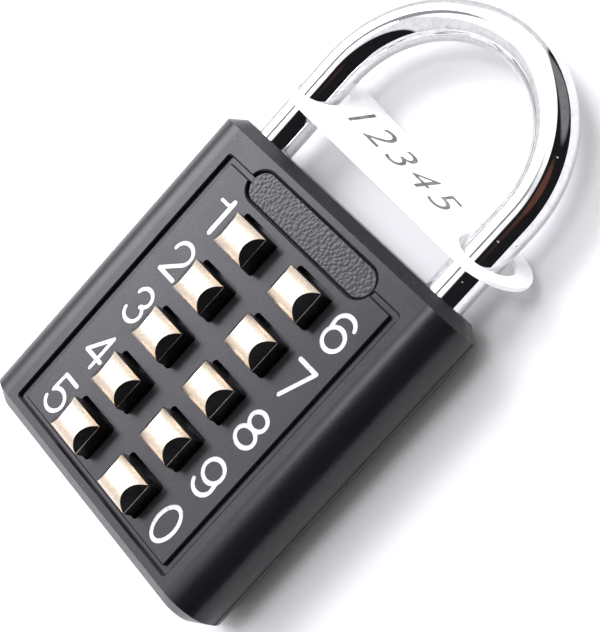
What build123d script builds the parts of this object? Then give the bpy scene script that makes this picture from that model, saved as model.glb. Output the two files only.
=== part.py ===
from build123d import *
import os

# Push-button combination padlock, lying on its back.
# Millimetres. X is the lock's width, Y runs towards the shackle, Z comes out of the front.
# The origin is the middle of the back face of the body.

# ---------------------------------------------------------------- driving dimensions
BODY_W = 47.4              # body at its widest, left to right
BODY_H = 50.8              # body, bottom to top
BODY_T = 12.4              # back face to front face
FRONT_ROUND = 5.1          # rounding of the sides towards the front
BACK_ROUND = 5.6           # rounding of the sides towards the back
END_BEVEL_Y = 1.57         # bevel round both ends, measured along Y
END_BEVEL = 2.1            # and measured in from the surface
FRONT_WALL = 2.4           # thickness of the housing's front
COVER_W = 42.8             # back cover plate, set in from the rounded sides
COVER_H = 50.1
COVER_T = 2.2
COVER_CORNER_R = 3.0
COVER_EDGE_R = 0.3
RIVET_R = 0.8
RIVET_HEAD_R = 1.2
RIVET_HEAD_T = 0.5
RIVET_END = 6.4

LEG_X = 17.1               # shackle legs, from the middle of the body
BAR_R = 2.95               # shackle bar radius
BAR_Z = 6.2                # height of the bar's axis above the back face
ARCH_Y = 38.67             # where the straight legs run into the arch
LEG_CLEARANCE = 0.1        # bar to bore, on the radius
LONG_LEG_END = -14.0
SHORT_LEG_END = 19.7
SHACKLE_LIFT = 6.5
LEG_CHAMFER = 0.6
GROOVE_Y = -10.0           # groove that carries the code plate
GROOVE_W = 2.5
GROOVE_CORE_R = 1.7

KEYPAD_Y = -2.33           # middle row of keys
KEY_COLUMN_X = 5.55        # the two columns, from the middle
KEY_PITCH = 8.0            # row to row
KEY_W = 6.1                # along X
KEY_H = 4.8                # along Y
KEY_WALL = 2.5             # straight wall of a key above the front face
KEY_CROWN = 1.35           # height of the vault above that wall
KEY_OUTER_LEAN = 1.35      # how far the end face away from the middle leans in
KEY_INNER_LEAN = 1.0       # and the end face towards the middle
KEY_TRAVEL = 1.3
WINDOW_W = 6.95            # key windows
WINDOW_H = 5.7
WINDOW_CORNER_R = 0.5
WINDOW_RISE = 0.2          # window's middle above its key's middle
KEY_NAMES = ["1", "2", "3", "4", "5", "6", "7", "8", "9", "0"]

FLANGE_T = 0.8             # flange that keeps a key behind the front wall
FLANGE_LIP = 0.45
STEM = 2.6                 # square key stem
NECK = 1.3                 # narrowed stem where the code plate passes, along X
STEM_BOTTOM = 3.65
PLATE_T = 0.6
GUIDE_Z = 6.35             # lower face of the guide plate
CODE_Z = 4.2               # lower face of the code plate
PLATE_FLOAT = 0.15         # free room above and below a plate that slides
CODE_HALF_W = 9.6          # code plate, middle to edge
BRIDGE_W = 1.2             # strip that joins its teeth above the top keys
STEM_ROOM = 0.3            # free room round a stem in the code plate
BOSS_R = 1.7
SCREW_R = 0.95
SPRING_WIRE = 0.25         # key springs
SPRING_R = 2.2

CHANNEL_HALF_W = 17.15     # frame channel round the keypad, outer edge of its floor
CHANNEL_TOP = 20.57
CHANNEL_BOTTOM = -22.58
CHANNEL_W = 0.92           # its two runs along Y
CHANNEL_END_W = 0.7        # its two runs along X
CHANNEL_CORNER_R = 0.35
CHANNEL_D = 0.6
PILL_HALF_W = 12.2         # grained pill panel that the channel runs into
PILL_H = 4.8
PILL_Y = 20.32
PILL_D = 0.6
CHANNEL_BEVEL = 0.2        # slope at the top of the channel's and the pill's walls

DIGIT_LEFT_X = -12.27      # numerals, middle of the left ones
DIGIT_RIGHT_X = 12.58      # and of the right ones
DIGIT_RISE = 0.21          # numeral's middle above its key's middle
DIGIT_H = 5.62
DIGIT_W = 3.72
DIGIT_STROKE = 0.64
ONE_STROKE = 0.85          # heavier stem of the one
FLAG_STROKE = 0.5          # and its finer flag
DIGIT_D = 0.2

TAG_HOLE_X = 17.4          # code tag: hole centres from its middle
TAG_HALF_W = 6.4
TAG_HOLE_R = 4.05
TAG_T = 0.6
TAG_Y = 34.02
TAG_Z = 6.13
TAG_LEAN = 32.0            # degrees that the tag leans from square to the legs
TAG_YAW = -3.6             # degrees that its right end hangs nearer the body

# ---------------------------------------------------------------- worked out
TOP = BODY_H / 2
BOTTOM = -BODY_H / 2
SIDE = BODY_W / 2
INNER_FRONT = BODY_T - FRONT_WALL
POCKET_HALF_W = 13.4
POCKET_TOP = 20.8
POCKET_BOTTOM = -21.9
BORE_R = BAR_R + LEG_CLEARANCE
FLANGE_TOP = INNER_FRONT - 0.05
FLANGE_BOTTOM = FLANGE_TOP - FLANGE_T
GUIDE_TOP = GUIDE_Z + PLATE_T
CODE_TOP = CODE_Z + PLATE_T
NECK_BOTTOM = CODE_Z - PLATE_FLOAT
NECK_TOP = CODE_TOP + KEY_TRAVEL + PLATE_FLOAT
BRIDGE_TOP = KEYPAD_Y + 2 * KEY_PITCH + STEM / 2 + STEM_ROOM + BRIDGE_W
BOSS_POINTS = [(11.6, 18.4), (-11.6, 18.4), (11.6, -19.6), (-11.6, -19.6)]
RIVET_POINTS = [(12.5, 23.1), (-12.5, 23.1), (12.5, -23.6), (-12.5, -23.6)]


def key_place(number):
    """Middle of a key: five down the left column, then five down the right."""
    column, row = divmod(number, 5)
    return (2 * column - 1) * KEY_COLUMN_X, KEYPAD_Y + (2 - row) * KEY_PITCH


def block(x0, x1, y0, y1, z0, z1):
    """Solid between two corners."""
    centre = ((x0 + x1) / 2, (y0 + y1) / 2, (z0 + z1) / 2)
    return Pos(*centre) * Box(x1 - x0, y1 - y0, z1 - z0)


def rod(x, y0, y1, z, radius):
    """Round solid along Y."""
    centre = Pos(x, (y0 + y1) / 2, z)
    return centre * Rot(90, 0, 0) * Cylinder(radius, y1 - y0)


def peg(x, y, z0, z1, radius):
    """Round solid along Z."""
    return Pos(x, y, (z0 + z1) / 2) * Cylinder(radius, z1 - z0)


def slab(outline, z0, z1):
    """A flat outline drawn on XY, stood between two heights."""
    return Pos(0, 0, z0) * extrude(outline, z1 - z0)


# ---------------------------------------------------------------- housing
def body_section(inset):
    """Section of the body across Y: flat front and back, rounded sides, moved in by inset."""
    side = SIDE - inset
    front = BODY_T - inset
    front_r = FRONT_ROUND - inset
    back_r = BACK_ROUND - inset
    with BuildSketch(Plane.XZ) as section:
        with BuildLine():
            Line((side - back_r, inset), (back_r - side, inset))
            RadiusArc((back_r - side, inset), (-side, inset + back_r), back_r)
            Line((-side, inset + back_r), (-side, front - front_r))
            RadiusArc((-side, front - front_r), (front_r - side, front), front_r)
            Line((front_r - side, front), (side - front_r, front))
            RadiusArc((side - front_r, front), (side, front - front_r), front_r)
            Line((side, front - front_r), (side, inset + back_r))
            RadiusArc((side, inset + back_r), (side - back_r, inset), back_r)
        make_face()
    return section.sketch


def body_blank():
    """Outer form of the whole body, bevelled round both ends."""
    straight = TOP - END_BEVEL_Y
    blank = Pos(0, straight, 0) * extrude(body_section(0), 2 * straight)
    for end in (-1, 1):
        full = Pos(0, end * straight, 0) * body_section(0)
        small = Pos(0, end * TOP, 0) * body_section(END_BEVEL)
        blank += loft([full.face(), small.face()], ruled=True)
    return blank


def frame_channel():
    """Channel round the keypad, run into the pill panel; one closed groove."""
    height = CHANNEL_TOP - CHANNEL_BOTTOM
    middle = Pos(0, (CHANNEL_TOP + CHANNEL_BOTTOM) / 2)
    inner_w = 2 * (CHANNEL_HALF_W - CHANNEL_W)
    outer = RectangleRounded(2 * CHANNEL_HALF_W, height, CHANNEL_CORNER_R)
    inner = RectangleRounded(inner_w, height - 2 * CHANNEL_END_W, CHANNEL_CORNER_R)
    ring = slab(middle * outer - middle * inner, BODY_T - CHANNEL_D, BODY_T + 1)
    pill = slab(Pos(0, PILL_Y) * SlotOverall(2 * PILL_HALF_W, PILL_H), BODY_T - PILL_D, BODY_T + 1)
    return ring + pill


def pen(stroke, *edges):
    """Stroke of a round pen along joined edges."""
    return SlotArc(Wire(list(edges)), stroke)


def bend(y, radius, start, turn):
    """Round line about (0, y), from a start angle in degrees, turning left."""
    return CenterArc((0, y), radius, start, turn)


def hoop(y, half_w, half_h):
    """Closed oval drawn with the pen."""
    half = DIGIT_STROKE / 2
    return Pos(0, y) * (Ellipse(half_w + half, half_h + half) - Ellipse(half_w - half, half_h - half))


def numeral(name):
    """One numeral about its middle, drawn with a round pen."""
    top = (DIGIT_H - DIGIT_STROKE) / 2
    side = (DIGIT_W - DIGIT_STROKE) / 2
    waist = 0.52 * top
    if name == "0":
        return hoop(0, side, top)
    if name == "1":
        stem_x = side / 2
        stem = pen(ONE_STROKE, Line((stem_x, -top), (stem_x, top)))
        flag_y = 0.69 * top
        rise = 0.3 * top
        curve = CenterArc((stem_x - rise, flag_y + rise), rise, 270, 85)
        return stem + pen(FLAG_STROKE, Line((-0.75 * side, flag_y), (stem_x - rise, flag_y)), curve)
    if name == "2":
        bow = bend(top - side, side, -46, 226)
        foot = Polyline(bow @ 0, (-0.95 * side, -top), (side, -top))
        return pen(DIGIT_STROKE, bow, *foot.edges())
    if name == "3":
        upper = pen(DIGIT_STROKE, bend(top - waist, waist, -72, 245))
        return upper + pen(DIGIT_STROKE, bend(1.06 * waist - top, 1.06 * waist, -170, 236))
    if name == "4":
        stem_x = side / 2
        bar_y = -0.42 * top
        stem = pen(DIGIT_STROKE, Line((stem_x, -top), (stem_x, top)))
        hook = Polyline((stem_x, top), (-side, bar_y), (side, bar_y))
        return stem + pen(DIGIT_STROKE, *hook.edges())
    if name == "5":
        cup = bend(side - top, side, -162, 310)
        flag = Polyline((0.86 * side, top), (-0.78 * side, top), cup @ 1)
        return pen(DIGIT_STROKE, cup, *flag.edges())
    if name == "7":
        return pen(DIGIT_STROKE, *Polyline((-side, top), (side, top), (-0.33 * side, -top)).edges())
    if name == "8":
        return hoop(waist, 0.86 * side, top - waist) + hoop(waist - top, side, waist)
    crook = bend(top - side, side, 22, 158)
    six = pen(DIGIT_STROKE, crook, Line(crook @ 1, (-0.9 * side, 1.5 * side - top)))
    six += hoop(side - top, side, side)
    return six if name == "6" else Rot(0, 0, 180) * six


def body_shell():
    body = body_blank() & block(-SIDE, SIDE, BOTTOM, TOP, COVER_T, BODY_T)
    pocket = block(-POCKET_HALF_W, POCKET_HALF_W, POCKET_BOTTOM, POCKET_TOP, 0, INNER_FRONT)
    long_bore = rod(-LEG_X, POCKET_BOTTOM, TOP + 1, BAR_Z, BORE_R)
    open_back = block(-LEG_X - BORE_R, -LEG_X + BORE_R, POCKET_BOTTOM, POCKET_TOP, 0, BAR_Z)
    tongue_way = block(-LEG_X, -POCKET_HALF_W + 1, -12.0, -1.5, 0, BAR_Z)
    short_bore = rod(LEG_X, SHORT_LEG_END - 0.4, TOP + 1, BAR_Z, BORE_R)
    way = CODE_HALF_W + PLATE_FLOAT
    way_top = BRIDGE_TOP + SHACKLE_LIFT + PLATE_FLOAT
    bridge_way = block(-way, way, POCKET_TOP - 1, way_top, 0, CODE_TOP + PLATE_FLOAT)
    body = body - pocket - long_bore - open_back - tongue_way - short_bore - bridge_way
    for x, y in BOSS_POINTS:
        edge = POCKET_HALF_W if x > 0 else -POCKET_HALF_W
        body += peg(x, y, GUIDE_TOP, INNER_FRONT, BOSS_R)
        body += block(min(x, edge), max(x, edge), y - BOSS_R, y + BOSS_R, GUIDE_TOP, INNER_FRONT)
    for x, y in BOSS_POINTS:
        body -= peg(x, y, GUIDE_TOP - 1, INNER_FRONT - 0.4, SCREW_R + 0.05)
    for x, y in RIVET_POINTS:
        body -= peg(x, y, 0, RIVET_END + 0.2, RIVET_R + 0.05)
    body -= frame_channel()
    rims = body.edges().filter_by_position(Axis.Z, BODY_T - 0.01, BODY_T + 0.01)
    inside = CHANNEL_HALF_W + 0.1
    rims = [edge for edge in rims if abs(edge.center().X) < inside and edge.center().Y > CHANNEL_BOTTOM - 0.1]
    rims = [edge for edge in rims if edge.bounding_box().max.Y < PILL_Y + PILL_H / 2 + 0.1]
    body = chamfer(rims, CHANNEL_BEVEL)
    for number, name in enumerate(KEY_NAMES):
        x, y = key_place(number)
        window = Pos(x, y + WINDOW_RISE) * RectangleRounded(WINDOW_W, WINDOW_H, WINDOW_CORNER_R)
        body -= slab(window, INNER_FRONT - 1, BODY_T + 1)
        digit_x = DIGIT_RIGHT_X if x > 0 else DIGIT_LEFT_X
        digit = Pos(digit_x, y + DIGIT_RISE) * numeral(name)
        body -= slab(digit, BODY_T - DIGIT_D, BODY_T + 1)
    return body


def rivet_head(x, y, gap):
    """Countersunk head, flush with the back; gap widens it into its seat."""
    cone = Cone(RIVET_R + gap, RIVET_HEAD_R + gap, RIVET_HEAD_T)
    return Pos(x, y, RIVET_HEAD_T / 2) * Rot(180, 0, 0) * cone


def back_cover():
    cover = slab(RectangleRounded(COVER_W, COVER_H, COVER_CORNER_R), 0, COVER_T)
    cover = fillet(cover.edges().filter_by(Plane.XY), COVER_EDGE_R)
    for x, y in RIVET_POINTS:
        cover -= peg(x, y, -1, COVER_T + 1, RIVET_R + 0.05)
        cover -= rivet_head(x, y, 0.05)
    return cover


def cover_rivets():
    rivets = []
    for x, y in RIVET_POINTS:
        rivets.append(peg(x, y, RIVET_HEAD_T / 2, RIVET_END, RIVET_R) + rivet_head(x, y, 0))
    return Compound(children=rivets)


# ---------------------------------------------------------------- plates inside
def guide_plate():
    sheet = block(-13.2, 13.2, -21.3, 20.3, GUIDE_Z, GUIDE_TOP)
    window = STEM / 2 + PLATE_FLOAT
    for number in range(10):
        x, y = key_place(number)
        sheet -= block(x - window, x + window, y - window, y + window, GUIDE_Z - 1, GUIDE_TOP + 1)
    for x, y in BOSS_POINTS:
        sheet -= peg(x, y, GUIDE_Z - 1, GUIDE_TOP + 1, SCREW_R + 0.2)
    return sheet


def guide_screws():
    screws = []
    head_r = SCREW_R + 0.7
    for x, y in BOSS_POINTS:
        shank = peg(x, y, GUIDE_Z - 0.2, INNER_FRONT - 0.6, SCREW_R)
        head = peg(x, y, GUIDE_Z - 1.0, GUIDE_Z, head_r)
        slot = block(x - 2, x + 2, y - 0.2, y + 0.2, GUIDE_Z - 1.1, GUIDE_Z - 0.6)
        screws.append(shank + head - slot)
    return Compound(children=screws)


def code_plate():
    """Comb that passes the necks of the key stems; its tongue sits in the long leg's groove."""
    sheet = block(-CODE_HALF_W, CODE_HALF_W, POCKET_BOTTOM + 0.5, BRIDGE_TOP, CODE_Z, CODE_TOP)
    tongue_end = GROOVE_CORE_R + 0.1 - LEG_X
    sheet += block(tongue_end, 1 - CODE_HALF_W, GROOVE_Y - 1, GROOVE_Y + 1, CODE_Z, CODE_TOP)
    window = STEM / 2 + STEM_ROOM
    slot = NECK / 2 + 0.25
    for number in range(10):
        x, y = key_place(number)
        sheet -= block(x - window, x + window, y - window, y + window, 0, BODY_T)
    for x in (-KEY_COLUMN_X, KEY_COLUMN_X):
        sheet -= block(x - slot, x + slot, -30, key_place(0)[1], 0, BODY_T)
    return sheet


# ---------------------------------------------------------------- shackle
def shackle():
    line = Polyline((-LEG_X, LONG_LEG_END, BAR_Z), (-LEG_X, ARCH_Y, BAR_Z))
    arch = ThreePointArc(
        (-LEG_X, ARCH_Y, BAR_Z), (0, ARCH_Y + LEG_X, BAR_Z), (LEG_X, ARCH_Y, BAR_Z)
    )
    short = Line((LEG_X, ARCH_Y, BAR_Z), (LEG_X, SHORT_LEG_END, BAR_Z))
    path = Wire(line.edges() + [arch, short])
    section = Plane((-LEG_X, LONG_LEG_END, BAR_Z), x_dir=(1, 0, 0), z_dir=(0, 1, 0)) * Circle(BAR_R)
    bar = sweep(section, path=path)
    ends = bar.faces().filter_by(Axis.Y).sort_by(Axis.Y)
    bar = chamfer(ends[0].edges() + ends[-1].edges(), LEG_CHAMFER)
    groove = rod(-LEG_X, GROOVE_Y - GROOVE_W / 2, GROOVE_Y + GROOVE_W / 2, BAR_Z, BAR_R + 1)
    groove -= rod(-LEG_X, GROOVE_Y - GROOVE_W, GROOVE_Y + GROOVE_W, BAR_Z, GROOVE_CORE_R)
    return bar - groove


def coil(radius, wire, turns, length):
    """Round-wire compression spring along Z, from 0 to length."""
    rise = length - wire
    helix = Helix(pitch=rise / turns, height=rise, radius=radius, center=(0, 0, wire / 2))
    section = Plane(helix @ 0, z_dir=helix % 0) * Circle(wire / 2)
    return sweep(section, path=helix, is_frenet=True)


def shackle_spring():
    length = LONG_LEG_END - POCKET_BOTTOM - 0.1
    spring = coil(2.1, 0.6, 6.5, length)
    return Pos(-LEG_X, POCKET_BOTTOM + 0.05, BAR_Z) * Rot(-90, 0, 0) * spring


# ---------------------------------------------------------------- keys
def key(number):
    """Key with a vaulted crown, leaning end faces, flange, square stem and neck."""
    x, y = key_place(number)
    left_lean = KEY_OUTER_LEAN if x < 0 else KEY_INNER_LEAN
    right_lean = KEY_INNER_LEAN if x < 0 else KEY_OUTER_LEAN
    half_w = KEY_W / 2
    half_h = KEY_H / 2
    wall_top = BODY_T + KEY_WALL
    crown_top = wall_top + KEY_CROWN
    with BuildPart() as vault:
        with BuildSketch(Plane.YZ.offset(-half_w)):
            with BuildLine():
                Polyline((-half_h, wall_top), (-half_h, FLANGE_BOTTOM), (half_h, FLANGE_BOTTOM),
                         (half_h, wall_top))
                ThreePointArc((half_h, wall_top), (0, crown_top), (-half_h, wall_top))
            make_face()
        extrude(amount=KEY_W)
    with BuildPart() as hip:
        with BuildSketch(Plane.XZ.offset(-half_h)):
            with BuildLine():
                Polyline((-half_w, FLANGE_BOTTOM), (half_w, FLANGE_BOTTOM), (half_w, wall_top),
                         (half_w - right_lean, crown_top), (left_lean - half_w, crown_top),
                         (-half_w, wall_top), close=True)
            make_face()
        extrude(amount=KEY_H)
    body = vault.part & hip.part
    reach_x = WINDOW_W / 2 + FLANGE_LIP
    reach_y = WINDOW_H / 2 + FLANGE_LIP
    low_y, high_y = WINDOW_RISE - reach_y, WINDOW_RISE + reach_y
    body += block(-reach_x, reach_x, low_y, high_y, FLANGE_BOTTOM, FLANGE_TOP)
    body += block(-STEM / 2, STEM / 2, -STEM / 2, STEM / 2, STEM_BOTTOM, FLANGE_BOTTOM + 0.1)
    for side in (-1, 1):
        inner, outer = sorted((side * NECK / 2, side * STEM))
        body -= block(inner, outer, -STEM, STEM, NECK_BOTTOM, NECK_TOP)
    return Pos(x, y, 0) * body


def key_spring(number):
    x, y = key_place(number)
    length = FLANGE_BOTTOM - GUIDE_TOP - 0.04
    return Pos(x, y, GUIDE_TOP + 0.02) * coil(SPRING_R, SPRING_WIRE, 3, length)


# ---------------------------------------------------------------- code tag
def code_tag():
    """Stiff plastic strip with round ends and two holes, leaning across the shackle."""
    outline = SlotCenterToCenter(2 * TAG_HOLE_X, 2 * TAG_HALF_W)
    for x in (-TAG_HOLE_X, TAG_HOLE_X):
        outline -= Pos(x, 0) * Circle(TAG_HOLE_R)
    strip = Pos(0, 0, -TAG_T / 2) * extrude(outline, TAG_T)
    return Pos(0, TAG_Y, TAG_Z) * Rot(0, 0, TAG_YAW) * Rot(TAG_LEAN - 90, 0, 0) * strip


# ---------------------------------------------------------------- write every node
nodes = {
    "body_shell": body_shell(),
    "back_cover": back_cover(),
    "cover_rivets": cover_rivets(),
    "guide_plate": guide_plate(),
    "guide_screws": guide_screws(),
    "code_plate": code_plate(),
    "shackle": shackle(),
    "shackle_spring": shackle_spring(),
    "code_tag": code_tag(),
}
for place, name in enumerate(KEY_NAMES):
    nodes["key_" + name] = key(place)
    nodes["key_spring_" + name] = key_spring(place)

os.makedirs("parts", exist_ok=True)
for name, solid in nodes.items():
    export_step(solid, "parts/" + name + ".step")
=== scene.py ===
import math

import bmesh
import bpy
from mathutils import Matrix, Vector, noise


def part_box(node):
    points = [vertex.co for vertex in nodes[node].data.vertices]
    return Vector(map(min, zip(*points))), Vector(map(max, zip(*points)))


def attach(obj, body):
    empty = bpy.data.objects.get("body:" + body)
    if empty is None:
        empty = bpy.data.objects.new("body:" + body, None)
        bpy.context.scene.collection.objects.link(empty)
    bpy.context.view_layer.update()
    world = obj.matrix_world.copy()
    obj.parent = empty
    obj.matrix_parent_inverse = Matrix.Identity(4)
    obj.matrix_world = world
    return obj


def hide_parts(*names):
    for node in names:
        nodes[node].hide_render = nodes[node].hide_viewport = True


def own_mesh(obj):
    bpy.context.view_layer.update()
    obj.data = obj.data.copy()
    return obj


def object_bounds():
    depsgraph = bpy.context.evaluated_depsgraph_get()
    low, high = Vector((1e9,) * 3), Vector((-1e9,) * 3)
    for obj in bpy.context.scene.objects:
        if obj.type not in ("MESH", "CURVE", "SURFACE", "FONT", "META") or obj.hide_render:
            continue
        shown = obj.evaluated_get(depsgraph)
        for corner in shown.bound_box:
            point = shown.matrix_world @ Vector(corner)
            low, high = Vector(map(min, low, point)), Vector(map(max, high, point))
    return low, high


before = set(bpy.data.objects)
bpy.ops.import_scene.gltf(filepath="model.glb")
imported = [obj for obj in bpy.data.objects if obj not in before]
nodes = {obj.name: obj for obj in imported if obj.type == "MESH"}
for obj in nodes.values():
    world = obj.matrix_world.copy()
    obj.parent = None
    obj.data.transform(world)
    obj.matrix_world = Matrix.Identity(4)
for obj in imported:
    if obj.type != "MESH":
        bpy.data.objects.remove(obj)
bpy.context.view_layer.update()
scene = bpy.context.scene
scene.view_settings.view_transform = "Standard"

# Push-button combination padlock, lying on its back on a pale floor. Metres, in the CAD's frame:
# origin in the middle of the back face, Y towards the shackle, Z out of the front.
MM = 0.001
KEY_NAMES = "1234567890"
KEY_CROWN = 1.35 * MM             # height of the vault over the key's walls
KEY_EDGE = 0.06 * MM

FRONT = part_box("body_shell")[1].z
BODY_SIDE = 23.7 * MM
BODY_TOP = 25.4 * MM
END_BEVEL = 2.1 * MM              # bevel round both ends, measured in from the surface
END_BEVEL_Y = 1.57 * MM           # and measured along Y
SEAM_Z = 5.5 * MM                 # mould seam along both sides
SEAM_R = 0.12 * MM
SEAM_SINK = 0.05 * MM

DIGIT_FLOOR = FRONT - 0.2 * MM    # floor of the engraved numerals
PAINT_GAP = 0.005 * MM
PAINT_T = 0.09 * MM
PILL_FLOOR = FRONT - 0.6 * MM     # floor of the grained panel
PILL_HALF_W = 12.2 * MM
PILL_HALF_H = 2.4 * MM
PILL_Y = 20.32 * MM
PILL_MARGIN = 0.03 * MM
MOAT_W = 0.28 * MM
PEBBLE = 0.6 * MM
SKIN_GAP = 0.01 * MM
SKIN_FOOT = 0.008 * MM
SKIN_T = 0.2 * MM
PEBBLE_H = 0.055 * MM

BAR_R = 2.95 * MM
LEG_X = 17.1 * MM
ARCH_Y = 38.67 * MM
BAR_Z = 6.2 * MM
LONG_LEG_END = -14.0 * MM
SHORT_LEG_END = 19.7 * MM
GROOVE = (-11.25 * MM, -8.75 * MM)
GROOVE_R = 1.7 * MM
LEG_CHAMFER = 0.6 * MM

TAG_HOLE_X = 17.4 * MM
TAG_HALF_W = 6.4 * MM
TAG_HOLE_R = 4.05 * MM
TAG_HALF_T = 0.3 * MM
TAG_EDGE = 0.1 * MM               # rounding of the tag's edges
TAG_MIDDLE = Vector((0, 34.02 * MM, 6.13 * MM))
TAG_YAW = math.radians(-3.6)
TAG_LEAN = math.radians(32)
TAG_TWIST = math.radians(5)       # from the middle to each hole
CODE_H = 5.1 * MM                 # height of the printed digits
CODE_X = -0.9 * MM                # middle of the print on the tag
CODE_Y = 1.5 * MM
INK_GAP = 0.004 * MM
INK_T = 0.008 * MM

CAMERA_PLACE = (90.36 * MM, 29.49 * MM, 162.09 * MM)
CAMERA_TURN = (16.6424, 24.8784, 47.2084)    # degrees
CAMERA_LENS = 83.46
CAMERA_SENSOR_W = 36


# ---------------------------------------------------------------- materials
class Recipe:
    """A node material under construction: its tree, its shader and short ways to add nodes."""

    def __init__(self, name, colour, roughness, metallic=0.0):
        self.material = bpy.data.materials.new(name)
        self.material.use_nodes = True
        self.tree = self.material.node_tree
        self.shader = self.tree.nodes["Principled BSDF"]
        self.shader.inputs["Base Color"].default_value = (*colour, 1)
        self.shader.inputs["Roughness"].default_value = roughness
        self.shader.inputs["Metallic"].default_value = metallic
        self.place = self.tree.nodes.new("ShaderNodeTexCoord").outputs["Object"]

    def node(self, kind, **inputs):
        """New node with some inputs set; an underscore stands for a space in an input's name."""
        made = self.tree.nodes.new(kind)
        for name, value in inputs.items():
            self.set(made, name.replace("_", " "), value)
        return made

    def set(self, node, name, value):
        """Gives an input a plain value or links another node's output to it."""
        if isinstance(value, bpy.types.NodeSocket):
            self.tree.links.new(value, node.inputs[name])
        else:
            node.inputs[name].default_value = value

    def noise(self, grain_mm, detail=3.0, roughness=0.55):
        """Soft noise whose lumps are about grain_mm across."""
        made = self.node("ShaderNodeTexNoise", Scale=0.5 / (grain_mm * MM), Detail=detail)
        self.set(made, "Roughness", roughness)
        self.set(made, "Vector", self.place)
        return made.outputs["Fac"]

    def cells(self, size_mm):
        """Scattered cells about size_mm across."""
        made = self.node("ShaderNodeTexVoronoi", Scale=1 / (size_mm * MM))
        self.set(made, "Vector", self.place)
        return made

    def ramp(self, value, low, high, out_low=0.0, out_high=1.0):
        """Value carried smoothly from [low, high] to [out_low, out_high]."""
        made = self.tree.nodes.new("ShaderNodeMapRange")
        made.interpolation_type = "SMOOTHSTEP"
        self.set(made, "Value", value)
        self.set(made, "From Min", low)
        self.set(made, "From Max", high)
        self.set(made, "To Min", out_low)
        self.set(made, "To Max", out_high)
        return made.outputs["Result"]

    def mix(self, share, first, second):
        """First colour turning into the second as the share grows."""
        made = self.tree.nodes.new("ShaderNodeMix")
        made.data_type = "RGBA"
        self.tree.links.new(share, made.inputs[0])
        inputs = [i for i in made.inputs if i.type == "RGBA"]
        for socket, value in zip(inputs, (first, second)):
            if isinstance(value, bpy.types.NodeSocket):
                self.tree.links.new(value, socket)
            else:
                socket.default_value = (*value, 1)
        return [o for o in made.outputs if o.type == "RGBA"][0]

    def math(self, operation, first, second):
        """Plain arithmetic on two values."""
        made = self.tree.nodes.new("ShaderNodeMath")
        made.operation = operation
        for socket, value in zip(made.inputs, (first, second)):
            if isinstance(value, bpy.types.NodeSocket):
                self.tree.links.new(value, socket)
            else:
                socket.default_value = value
        return made.outputs["Value"]

    def bump(self, height, depth_mm):
        """Relief on top of any relief added before."""
        made = self.node("ShaderNodeBump", Strength=1.0, Distance=depth_mm * MM, Height=height)
        last = self.shader.inputs["Normal"]
        if last.is_linked:
            self.tree.links.new(last.links[0].from_socket, made.inputs["Normal"])
        self.tree.links.new(made.outputs["Normal"], last)

    def colour(self, socket):
        """Base colour taken from a node."""
        self.tree.links.new(socket, self.shader.inputs["Base Color"])

    def glow(self, strength):
        """Faint glow: a lighting aid for blown-out whites, not a property of the real thing."""
        self.shader.inputs["Emission Color"].default_value = (1, 1, 1, 1)
        self.shader.inputs["Emission Strength"].default_value = strength

    def rough(self, socket):
        """Roughness taken from a node."""
        self.tree.links.new(socket, self.shader.inputs["Roughness"])


def lacquer():
    """Satin black lacquer with a fine skin and a little dust."""
    r = Recipe("black_lacquer", (0.01, 0.01, 0.012), 0.3)
    r.shader.inputs["IOR"].default_value = 1.4
    r.rough(r.ramp(r.noise(3.0), 0.3, 0.7, 0.25, 0.3))
    r.bump(r.noise(0.26, 2.0), 0.009)
    grain = r.cells(1.4)
    speck = r.ramp(grain.outputs["Distance"], 0.035, 0.05, 1.0, 0.0)
    pick = r.node("ShaderNodeSeparateColor", Color=grain.outputs["Color"])
    chosen = r.ramp(pick.outputs["Red"], 0.9, 0.905)
    share = r.math("MULTIPLY", speck, chosen)
    r.colour(r.mix(share, (0.01, 0.01, 0.012), (0.35, 0.34, 0.32)))
    return r.material


def numeral_paint():
    """White paint, bluish grey in random patches."""
    r = Recipe("numeral_paint", (0.82, 0.82, 0.8), 0.5)
    # random bluish-grey patches laid over the white paint
    bluish_patches = r.ramp(r.noise(0.5), 0.56, 0.72)
    r.colour(r.mix(bluish_patches, (0.78, 0.79, 0.79), (0.4, 0.46, 0.5)))
    r.bump(r.noise(0.3), 0.01)
    return r.material


def key_metal():
    """Warm nickel plating with a fine brown grain."""
    r = Recipe("key_crown_nickel", (0.66, 0.58, 0.5), 0.32, 1.0)
    r.colour(r.mix(r.ramp(r.noise(0.09, 3.0, 0.7), 0.42, 0.66), (0.82, 0.72, 0.6), (0.58, 0.46, 0.34)))
    r.rough(r.ramp(r.noise(0.35), 0.3, 0.7, 0.3, 0.42))
    r.bump(r.noise(0.12, 2.0), 0.006)
    return r.material


def key_black():
    """Black lacquer of the keys, all but their plated faces."""
    r = Recipe("key_lacquer", (0.01, 0.01, 0.011), 0.3)
    r.rough(r.ramp(r.noise(0.8), 0.3, 0.7, 0.25, 0.4))
    r.bump(r.noise(0.25, 2.0), 0.004)
    return r.material


def chrome():
    """Polished chrome, faintly clouded, with a few small dark pits."""
    r = Recipe("chrome_plate", (0.9, 0.9, 0.9), 0.035, 1.0)
    r.rough(r.ramp(r.noise(2.5), 0.35, 0.75, 0.02, 0.07))
    pits = r.cells(1.1)
    pick = r.node("ShaderNodeSeparateColor", Color=pits.outputs["Color"])
    chosen = r.ramp(pick.outputs["Green"], 0.8, 0.81)
    dent = r.math("MULTIPLY", r.ramp(pits.outputs["Distance"], 0.07, 0.13, 1.0, 0.0), chosen)
    cloud = r.mix(r.ramp(r.noise(0.5, 5.0, 0.7), 0.4, 0.7), (0.74, 0.74, 0.745), (0.62, 0.62, 0.63))
    r.colour(r.mix(dent, cloud, (0.1, 0.09, 0.09)))
    r.bump(dent, -0.06)
    r.bump(r.noise(6.0, 1.0), 0.01)
    return r.material


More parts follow.
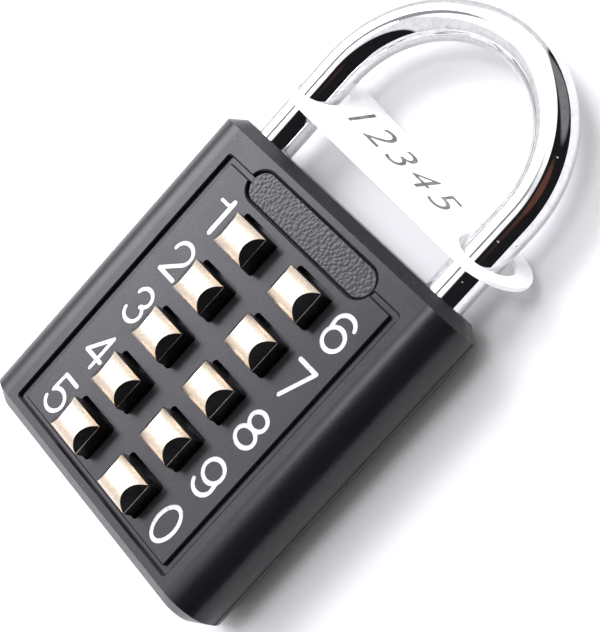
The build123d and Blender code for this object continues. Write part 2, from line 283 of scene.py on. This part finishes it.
def steel(name, colour, roughness):
    """Plain drawn or pressed steel."""
    r = Recipe(name, colour, roughness, 1.0)
    darker = tuple(0.75 * c for c in colour)
    r.colour(r.mix(r.ramp(r.noise(1.5), 0.3, 0.7), colour, darker))
    r.rough(r.ramp(r.noise(0.6), 0.3, 0.7, roughness - 0.06, roughness + 0.08))
    r.bump(r.noise(0.2, 2.0), 0.004)
    return r.material


def tag_plastic():
    """Bright white plastic sheet, helped by a faint glow."""
    r = Recipe("white_plastic", (0.86, 0.86, 0.86), 0.38)
    r.rough(r.ramp(r.noise(2.0), 0.3, 0.7, 0.32, 0.45))
    r.colour(r.mix(r.ramp(r.noise(4.0), 0.3, 0.7), (0.94, 0.94, 0.95), (0.91, 0.91, 0.92)))
    r.bump(r.noise(0.4), 0.005)
    r.glow(0.25)
    return r.material


def ink():
    """Grey printing ink, thin in places."""
    r = Recipe("tag_ink", (0.2, 0.2, 0.22), 0.6)
    r.colour(r.mix(r.ramp(r.noise(0.35), 0.45, 0.7), (0.15, 0.15, 0.14), (0.3, 0.3, 0.28)))
    return r.material


def floor_white():
    """Pale studio floor, helped by a still fainter glow."""
    r = Recipe("floor_white", (0.86, 0.86, 0.86), 0.6)
    r.colour(r.mix(r.ramp(r.noise(30.0), 0.3, 0.7), (0.87, 0.87, 0.87), (0.85, 0.85, 0.85)))
    r.glow(0.02)
    return r.material


# ---------------------------------------------------------------- mesh helpers
def add_object(name, mesh, body, slot, *materials):
    """Puts a finished mesh on its CAD body with its materials."""
    obj = bpy.data.objects.new(name, mesh)
    scene.collection.objects.link(obj)
    for material in materials:
        mesh.materials.append(material)
    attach(obj, body)
    return obj


def mesh_from(name, bm, smooth_below=math.radians(35)):
    """Mesh of a bmesh, with its normals out and shaded smooth except over sharp edges."""
    bmesh.ops.recalc_face_normals(bm, faces=bm.faces)
    for edge in bm.edges:
        edge.smooth = not edge.is_manifold or edge.calc_face_angle() < smooth_below
    for face in bm.faces:
        face.smooth = True
    mesh = bpy.data.meshes.new(name)
    bm.to_mesh(mesh)
    bm.free()
    return mesh


# ---------------------------------------------------------------- shackle
def shackle_line():
    """Points along the bar with their radii, from the long leg's end to the short leg's end."""
    low, high = GROOVE
    slim = BAR_R - LEG_CHAMFER
    marks = [(LONG_LEG_END, slim), (LONG_LEG_END + LEG_CHAMFER, BAR_R), (low, BAR_R)]
    marks += [(low, GROOVE_R), (high, GROOVE_R), (high, BAR_R), (ARCH_Y, BAR_R)]
    line = [(Vector((-LEG_X, y, BAR_Z)), Vector((0, 1, 0)), radius) for y, radius in marks]
    steps = 96
    for step in range(1, steps + 1):
        turn = math.pi * step / steps
        out = Vector((-math.cos(turn), math.sin(turn), 0))
        centre = Vector((0, ARCH_Y, BAR_Z)) + LEG_X * out
        along = Vector((math.sin(turn), math.cos(turn), 0))
        line.append((centre, along, BAR_R))
    for y, radius in ((SHORT_LEG_END + LEG_CHAMFER, BAR_R), (SHORT_LEG_END, slim)):
        line.append((Vector((LEG_X, y, BAR_Z)), Vector((0, -1, 0)), radius))
    return line


def make_shackle(material):
    """Round bar swept along its line, with the groove that holds the code plate's tongue."""
    bm = bmesh.new()
    sides = 96
    up = Vector((0, 0, 1))
    rings = []
    for centre, along, radius in shackle_line():
        across = along.cross(up).normalized()
        ring = []
        for side in range(sides):
            angle = 2 * math.pi * side / sides
            ring.append(bm.verts.new(centre + radius * (math.cos(angle) * across + math.sin(angle) * up)))
        rings.append(ring)
    for first, second in zip(rings, rings[1:]):
        for side in range(sides):
            after = (side + 1) % sides
            bm.faces.new((first[side], first[after], second[after], second[side]))
    bm.faces.new(rings[0])
    bm.faces.new(list(reversed(rings[-1])))
    obj = add_object("shackle_bar", mesh_from("shackle_bar", bm), "shackle_unit", "chrome_plate", material)
    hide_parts("shackle")


# ---------------------------------------------------------------- front panel details
def make_numerals(material):
    """White paint lying in the engraved numerals, cut from the engraving's own floor."""
    source = nodes["body_shell"].data
    for name, triangles in numeral_floors(source).items():
        bm = bmesh.new()
        known = {}
        for triangle in triangles:
            corners = []
            for index in triangle:
                point = source.vertices[index].co
                key = (round(point.x, 7), round(point.y, 7))
                if key not in known:
                    known[key] = bm.verts.new((point.x, point.y, DIGIT_FLOOR + PAINT_GAP))
                corners.append(known[key])
            if len(set(corners)) == 3:
                bm.faces.new(corners)
        made = bmesh.ops.extrude_face_region(bm, geom=bm.faces[:])
        top = [v for v in made["geom"] if isinstance(v, bmesh.types.BMVert)]
        bmesh.ops.translate(bm, verts=top, vec=(0, 0, PAINT_T))
        add_object("numeral_" + name, mesh_from("numeral_" + name, bm), "housing", None, material)


def numeral_floors(mesh):
    """Triangles of each engraved numeral's floor, by the numeral's name."""
    close = 0.01 * MM
    mesh.calc_loop_triangles()
    found = {name: [] for name in KEY_NAMES}
    for triangle in mesh.loop_triangles:
        points = [mesh.vertices[i].co for i in triangle.vertices]
        if all(abs(p.z - DIGIT_FLOOR) < close for p in points):
            middle = sum(points, Vector()) / 3
            found[nearest_key(middle)].append(tuple(triangle.vertices))
    return found


def nearest_key(point):
    """Name of the key in the same column and row as a point."""
    other_column = 1              # metre, more than any row is away

    def apart(name):
        low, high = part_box("key_" + name)
        middle = (low + high) / 2
        same_side = middle.x * point.x > 0
        return abs(middle.y - point.y) + (0 if same_side else other_column)

    return min(KEY_NAMES, key=apart)


def grain_height(x, y):
    """Leather-like grain of small rounded pebbles, from 0 to 1."""
    level = 0.37                  # where the solid pattern is cut
    rounded = 0.5                 # how far in from its edge a pebble is rounded
    near, _ = noise.voronoi(Vector((x / PEBBLE, y / PEBBLE, level)))
    share = min(1.0, (near[1] - near[0]) / rounded)
    return 0.7 * share * (2 - share) + 0.3 * max(0.0, 1 - near[0])


def make_pill_grain(material):
    """Grained skin on the floor of the pill panel, with a fine moat round it."""
    pitch = 0.1 * MM
    bm = bmesh.new()
    radius = PILL_HALF_H - PILL_MARGIN
    reach = PILL_HALF_W - PILL_MARGIN - radius
    rows = int(2 * radius / pitch)
    columns = int(2 * (reach + radius) / pitch)
    grid = []
    for row in range(rows + 1):
        y = -radius + 2 * radius * row / rows
        half = reach + math.sqrt(max(radius * radius - y * y, 0))
        line = []
        for column in range(columns + 1):
            x = half * (2 * column / columns - 1)
            over = max(abs(x) - reach, 0)
            edge = min(max((radius - math.hypot(over, y)) / MOAT_W, 0), 1)
            lift = edge * edge * (3 - 2 * edge) * (SKIN_T + PEBBLE_H * grain_height(x, y))
            line.append(bm.verts.new((x, PILL_Y + y, PILL_FLOOR + SKIN_GAP + lift)))
        grid.append(line)
    for low, high in zip(grid, grid[1:]):
        for column in range(columns):
            bm.faces.new((low[column], low[column + 1], high[column + 1], high[column]))
    rim = [edge for edge in bm.edges if edge.is_boundary]
    made = bmesh.ops.extrude_edge_only(bm, edges=rim)["geom"]
    foot = [item for item in made if isinstance(item, bmesh.types.BMVert)]
    bmesh.ops.translate(bm, verts=foot, vec=(0, 0, -SKIN_FOOT))
    bmesh.ops.edgeloop_fill(bm, edges=[edge for edge in bm.edges if edge.is_boundary])
    add_object("pill_grain", mesh_from("pill_grain", bm, math.pi), "housing", "black_lacquer", material)


def make_parting_beads(material):
    """Fine mould seam standing a little proud along both rounded sides."""
    sides = 12
    kept_in = 0.998               # keeps the bead's ends inside the body's ends
    corner, bevel_start = BODY_SIDE - END_BEVEL, BODY_TOP - END_BEVEL_Y
    path = [(corner, -BODY_TOP), (BODY_SIDE, -bevel_start), (BODY_SIDE, bevel_start), (corner, BODY_TOP)]
    for name, way in (("left", -1), ("right", 1)):
        bm = bmesh.new()
        rings = []
        for x, y in path:
            ring = []
            for side in range(sides):
                turn = 2 * math.pi * side / sides
                out = x - SEAM_SINK + SEAM_R * math.cos(turn)
                ring.append(bm.verts.new((way * out, y * kept_in, SEAM_Z + SEAM_R * math.sin(turn))))
            rings.append(ring)
        for first, second in zip(rings, rings[1:]):
            for side in range(sides):
                after = (side + 1) % sides
                bm.faces.new((first[side], first[after], second[after], second[side]))
        bm.faces.new(rings[0])
        bm.faces.new(rings[-1])
        seam = "parting_seam_" + name
        add_object(seam, mesh_from(seam, bm), "housing", "black_lacquer", material)


# ---------------------------------------------------------------- keys
def make_key(name, crown, black):
    """Key with softened edges: plated vault and worn chord edges on a black body."""
    node = "key_" + name
    low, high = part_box(node)
    middle_x = (low.x + high.x) / 2
    wall_top = high.z - KEY_CROWN
    crown_edge = 2.8 * MM
    merge = 0.001 * MM
    flat_below = math.radians(1)
    sharp_above = math.radians(25)
    shown_above = FRONT - 1 * MM
    bm = bmesh.new()
    bm.from_mesh(nodes[node].data)
    bmesh.ops.remove_doubles(bm, verts=bm.verts, dist=merge)
    bmesh.ops.dissolve_limit(
        bm, angle_limit=flat_below, verts=bm.verts, edges=bm.edges, use_dissolve_boundaries=False
    )
    sharp = [
        e for e in bm.edges
        if e.is_manifold and e.calc_face_angle() > sharp_above
        and min(v.co.z for v in e.verts) > shown_above
    ]
    bmesh.ops.bevel(bm, geom=sharp, offset=KEY_EDGE, segments=2, profile=0.5, affect="EDGES")
    for face in bm.faces:
        middle = face.calc_center_median()
        is_vault = face.normal.z > 0.3 and abs(face.normal.x) < 0.2 and middle.z > wall_top
        is_worn = abs(middle.z - wall_top) < 0.1 * MM and 0.75 < abs(face.normal.x) < 0.99
        is_worn = is_worn and abs(middle.x - middle_x) > crown_edge
        face.material_index = 0 if is_vault or is_worn else 1
    mesh = mesh_from("keycap_" + name, bm, math.radians(50))
    obj = add_object("keycap_" + name, mesh, "key_" + name + "_body", "key_lacquer", crown, black)
    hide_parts(node)


def make_key_springs(material):
    """Return springs of the keys, rebuilt from the CAD meshes."""
    for name in KEY_NAMES:
        node = "key_spring_" + name
        bm = bmesh.new()
        bm.from_mesh(nodes[node].data)
        mesh = mesh_from("coil_" + name, bm)
        piece = add_object("coil_" + name, mesh, "housing", "spring_steel", material)
        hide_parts(node)
        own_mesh(piece)


# ---------------------------------------------------------------- code tag
def tag_point(along, across, out):
    """Point of the slightly twisted tag: along it, across it and out of its face."""
    lean = TAG_LEAN - TAG_TWIST * max(-1, min(1, along / TAG_HOLE_X))
    up = Vector((0, math.sin(lean), -math.cos(lean)))
    face = Vector((0, math.cos(lean), math.sin(lean)))
    flat = Vector((along, 0, 0)) + across * up + out * face
    turned = Vector((flat.x * math.cos(TAG_YAW) - flat.y * math.sin(TAG_YAW),
                     flat.x * math.sin(TAG_YAW) + flat.y * math.cos(TAG_YAW), flat.z))
    return TAG_MIDDLE + turned


def tag_sheet():
    """Quads of the flat tag as corner points (along, across, inset from the nearest edge)."""
    start = TAG_HOLE_X - TAG_HALF_W
    turns = 96
    pieces = 24
    close = 1e-7
    rounding = 1e-9
    shares = (0, TAG_EDGE / 2, TAG_EDGE)
    quads = []

    def spoke(step):
        """Points from a hole's rim out to the strip's edge, or to where the middle part starts."""
        angle = 2 * math.pi * step / turns
        out = Vector((math.cos(angle), math.sin(angle)))
        square = max(abs(out.x), abs(out.y))
        far = TAG_HALF_W / square if out.x < 0 else TAG_HALF_W
        at_rim = out.x >= 0 or abs(out.y) >= abs(out.x) - rounding
        marks = [TAG_HOLE_R + share for share in shares]
        inset = list(shares)
        marks += [(TAG_HOLE_R + far) / 2]
        inset += [TAG_EDGE]
        for share in reversed(shares):
            marks.append(far - share)
            inset.append(share if at_rim else TAG_EDGE)
        return [(TAG_HOLE_X + out.x * m, out.y * m, i) for m, i in zip(marks, inset)]

    spokes = [spoke(step) for step in range(turns)]
    for step in range(turns):
        first, second = spokes[step], spokes[(step + 1) % turns]
        for a, b, c, d in zip(first, first[1:], second[1:], second):
            quads.append((a, b, c, d))
            quads.append(tuple((-x, y, i) for x, y, i in (a, b, c, d)))
    join = sorted({round(s[-1][1], 9) for s in spokes if abs(s[-1][0] - start) < close})
    rows = [(y, 0 if abs(y) > TAG_HALF_W - close else TAG_EDGE) for y in join]
    columns = [start * (2 * piece / pieces - 1) for piece in range(pieces + 1)]
    for (y0, i0), (y1, i1) in zip(rows, rows[1:]):
        for x0, x1 in zip(columns, columns[1:]):
            quads.append(((x0, y0, i0), (x1, y0, i0), (x1, y1, i1), (x0, y1, i1)))
    return quads


def make_tag(material):
    """Stiff white strip with round ends, two holes and softened edges."""
    bm = bmesh.new()
    known = {}

    def corner(x, y, inset, face):
        """Vertex on one face, drawn back towards the sheet's middle where it is near an edge."""
        drop = TAG_EDGE - min(inset, TAG_EDGE)
        out = face * (TAG_HALF_T - TAG_EDGE + math.sqrt(max(TAG_EDGE ** 2 - drop ** 2, 0)))
        key = (round(x, 8), round(y, 8), face)
        if key not in known:
            known[key] = bm.verts.new(tag_point(x, y, out))
        return known[key]

    for quad in tag_sheet():
        for face in (1, -1):
            corners = [corner(x, y, inset, face) for x, y, inset in quad]
            if len(set(corners)) == 4 and not bm.faces.get(corners):
                bm.faces.new(corners)
    partner = {vert: known[key[:2] + (-1,)] for key, vert in known.items() if key[2] == 1}
    for rim in [e for e in bm.edges if e.is_boundary and e.verts[0] in partner and e.verts[1] in partner]:
        first, second = rim.verts
        bm.faces.new((first, second, partner[second], partner[first]))
    obj = add_object("tag_strip", mesh_from("tag_strip", bm), "tag", "white_plastic", material)
    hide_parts("code_tag")


def make_code(material):
    """Five printed digits on the tag's front."""
    curve = bpy.data.curves.new("code", "FONT")
    curve.body = "12345"
    curve.align_x = "CENTER"
    curve.align_y = "CENTER"
    curve.space_character = 1.2
    curve.offset = -0.006         # thinner strokes keep the 4 open
    writer = bpy.data.objects.new("writer", curve)
    scene.collection.objects.link(writer)
    flat = bpy.data.meshes.new_from_object(writer.evaluated_get(bpy.context.evaluated_depsgraph_get()))
    bpy.data.objects.remove(writer)
    xs = [v.co.x for v in flat.vertices]
    ys = [v.co.y for v in flat.vertices]
    grow = CODE_H / (max(ys) - min(ys))
    middle = Vector(((max(xs) + min(xs)) / 2, (max(ys) + min(ys)) / 2))
    bm = bmesh.new()
    bm.from_mesh(flat)
    for vert in bm.verts:
        along = (vert.co.x - middle.x) * grow + CODE_X
        across = (vert.co.y - middle.y) * grow + CODE_Y
        vert.co = tag_point(along, across, TAG_HALF_T + INK_GAP)
    made = bmesh.ops.extrude_face_region(bm, geom=bm.faces[:])["geom"]
    top = [item for item in made if isinstance(item, bmesh.types.BMVert)]
    out = tag_point(0, 0, INK_T) - tag_point(0, 0, 0)
    bmesh.ops.translate(bm, verts=top, vec=out)
    add_object("tag_code", mesh_from("tag_code", bm), "tag", None, material)


# ---------------------------------------------------------------- floor, light, camera
def make_floor():
    """Wide flat floor at the height of the part's lowest point."""
    mesh = bpy.data.meshes.new("floor")
    reach = 3.0
    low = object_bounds()[0].z
    corners = [(-reach, -reach, low), (reach, -reach, low), (reach, reach, low), (-reach, reach, low)]
    mesh.from_pydata(corners, [], [(0, 1, 2, 3)])
    obj = bpy.data.objects.new("floor", mesh)
    scene.collection.objects.link(obj)
    mesh.materials.append(floor_white())


class Sky:
    """The world's node tree, built up as soft patches of light over one another."""

    def __init__(self):
        scene.world = bpy.data.worlds.new("light_tent")
        scene.world.use_nodes = True
        self.tree = scene.world.node_tree
        self.way = self.tree.nodes.new("ShaderNodeTexCoord").outputs["Generated"]

    def towards(self, azimuth, elevation, low, high):
        """Share from 0 to 1 that grows towards a direction given in degrees."""
        a, e = math.radians(azimuth), math.radians(elevation)
        dot = self.tree.nodes.new("ShaderNodeVectorMath")
        dot.operation = "DOT_PRODUCT"
        dot.inputs[1].default_value = (math.cos(a) * math.cos(e), math.sin(a) * math.cos(e), math.sin(e))
        self.tree.links.new(self.way, dot.inputs[0])
        share = self.tree.nodes.new("ShaderNodeMapRange")
        share.interpolation_type = "SMOOTHSTEP"
        self.tree.links.new(dot.outputs["Value"], share.inputs["Value"])
        share.inputs["From Min"].default_value = low
        share.inputs["From Max"].default_value = high
        return share.outputs["Result"]

    def over(self, below, share, above):
        """Light above laid over light below where the share is high."""
        mix = self.tree.nodes.new("ShaderNodeMix")
        mix.data_type = "RGBA"
        mix.clamp_result = False
        self.tree.links.new(share, mix.inputs[0])
        sockets = [i for i in mix.inputs if i.type == "RGBA"]
        for socket, light in zip(sockets, (below, above)):
            if isinstance(light, bpy.types.NodeSocket):
                self.tree.links.new(light, socket)
            else:
                socket.default_value = (*light, 1)
        return [o for o in mix.outputs if o.type == "RGBA"][0]

    def show(self, light):
        """Makes the finished light the world's background."""
        background = self.tree.nodes["Background"]
        self.tree.links.new(light, background.inputs["Color"])
        background.inputs["Strength"].default_value = 1.0


def make_world():
    """White light tent with a lamp behind the part, open on the camera's side to a dark room."""
    sky = Sky()
    # the tent: walls and ceiling, two soft patches, the lamp, a dim gap above it, a light near the zenith
    tent = sky.over((0.9, 0.9, 0.92), sky.towards(0, 90, 0.01, 0.5), (1.1, 1.1, 1.14))
    tent = sky.over(tent, sky.towards(225, 58, 0.96, 0.99), (3.0, 3.0, 3.1))
    tent = sky.over(tent, sky.towards(112, 50, 0.86, 0.95), (2.0, 2.0, 2.05))
    tent = sky.over(tent, sky.towards(178, 44, 0.88, 1.0), (10.0, 9.8, 10.6))
    tent = sky.over(tent, sky.towards(188, 70, 0.972, 0.993), (0.4, 0.4, 0.44))
    tent = sky.over(tent, sky.towards(200, 84, 0.985, 0.997), (12.0, 11.8, 12.4))
    # the room: dark, with a brown patch and a grey one
    room = sky.over((0.015, 0.015, 0.017), sky.towards(30, 56, 0.955, 0.99), (0.14, 0.06, 0.045))
    room = sky.over(room, sky.towards(80, 26, 0.91, 0.96), (0.26, 0.26, 0.27))
    sky.show(sky.over(tent, sky.towards(22, 0, 0.12, 0.18), room))


def make_camera():
    """Camera above the right side, turned so that the shackle points to the upper right."""
    data = bpy.data.cameras.new("camera")
    data.sensor_fit = "HORIZONTAL"
    data.sensor_width = CAMERA_SENSOR_W
    data.lens = CAMERA_LENS
    data.clip_start = 0.01
    obj = bpy.data.objects.new("camera", data)
    scene.collection.objects.link(obj)
    obj.location = CAMERA_PLACE
    obj.rotation_euler = [math.radians(a) for a in CAMERA_TURN]
    scene.camera = obj


# ---------------------------------------------------------------- assembly
def finish_nodes(black, inner, spring):
    """Materials of the CAD nodes that are shown as they are."""
    kinds = {"body_shell": black, "back_cover": black, "cover_rivets": inner, "guide_plate": inner,
             "guide_screws": inner, "code_plate": inner, "shackle_spring": spring}
    for name, obj in nodes.items():
        material = kinds.get(name, spring)
        obj.data.materials.clear()
        obj.data.materials.append(material)


black, spring_wire = lacquer(), steel("spring_steel", (0.5, 0.5, 0.5), 0.3)
finish_nodes(black, steel("steel", (0.62, 0.6, 0.57), 0.34), spring_wire)
make_shackle(chrome())
make_numerals(numeral_paint())
make_pill_grain(black)
make_parting_beads(black)
make_tag(tag_plastic())
make_code(ink())
crown_metal, key_body = key_metal(), key_black()
for key_name in KEY_NAMES:
    make_key(key_name, crown_metal, key_body)
make_key_springs(spring_wire)
make_floor()
make_world()
make_camera()
